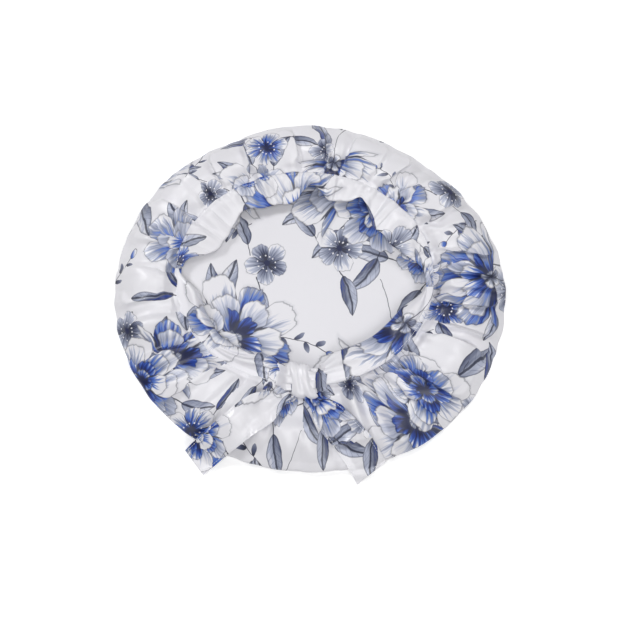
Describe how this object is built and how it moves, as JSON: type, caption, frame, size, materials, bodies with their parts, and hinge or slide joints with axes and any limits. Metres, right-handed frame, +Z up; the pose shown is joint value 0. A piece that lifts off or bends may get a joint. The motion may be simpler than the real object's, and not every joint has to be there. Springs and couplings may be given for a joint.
{
  "type": "satin hair bonnet with front tie",
  "caption": "Round double-layer satin hair bonnet, lying flat with its opening up: a gathered ring, a ruffled elastic casing at the back and a knotted tie strap at the front.",
  "frame": {"origin": "middle of the whole extent in X and Y, on the table that the bonnet lies on", "axes": "+X to the right of the picture, along the longest extent, +Y to the elastic casing at the back, +Z up out of the opening"},
  "size_m": [0.3368, 0.3142, 0.0298],
  "materials": {
    "outer_satin": "white satin weave with a blue and grey floral print",
    "lining_satin": "white satin weave with the same floral print",
    "strap_satin": "white satin weave with the same floral print",
    "elastic_web": "matt woven elastic",
    "thread": "white polyester sewing thread"
  },
  "bodies": {
    "cap": {"outer_shell": "outer_satin", "lining_shell": "lining_satin", "left_band": "strap_satin", "right_band": "strap_satin", "left_band_stitching": "thread", "right_band_stitching": "thread", "back_casing": "outer_satin", "back_elastic": "elastic_web", "casing_stitching": "thread", "left_bartack": "thread", "right_bartack": "thread", "knot_core": "strap_satin", "knot_wrap": "strap_satin"},
    "left_tie": {"left_tie_tail": "strap_satin", "left_tie_stitching": "thread"},
    "right_tie": {"right_tie_tail": "strap_satin", "right_tie_stitching": "thread"}
  },
  "joints": [
    {"name": "left_tie_lift", "type": "hinge", "parent": "cap", "child": "left_tie", "pos_m": [-0.02384, -0.08407, 0.0175], "axis": [-0.6018, 0.7986, 0], "range_deg": [0, 80]},
    {"name": "right_tie_lift", "type": "hinge", "parent": "cap", "child": "right_tie", "pos_m": [0.00551, -0.08804, 0.0175], "axis": [-0.788, -0.6157, 0], "range_deg": [0, 80]}
  ]
}
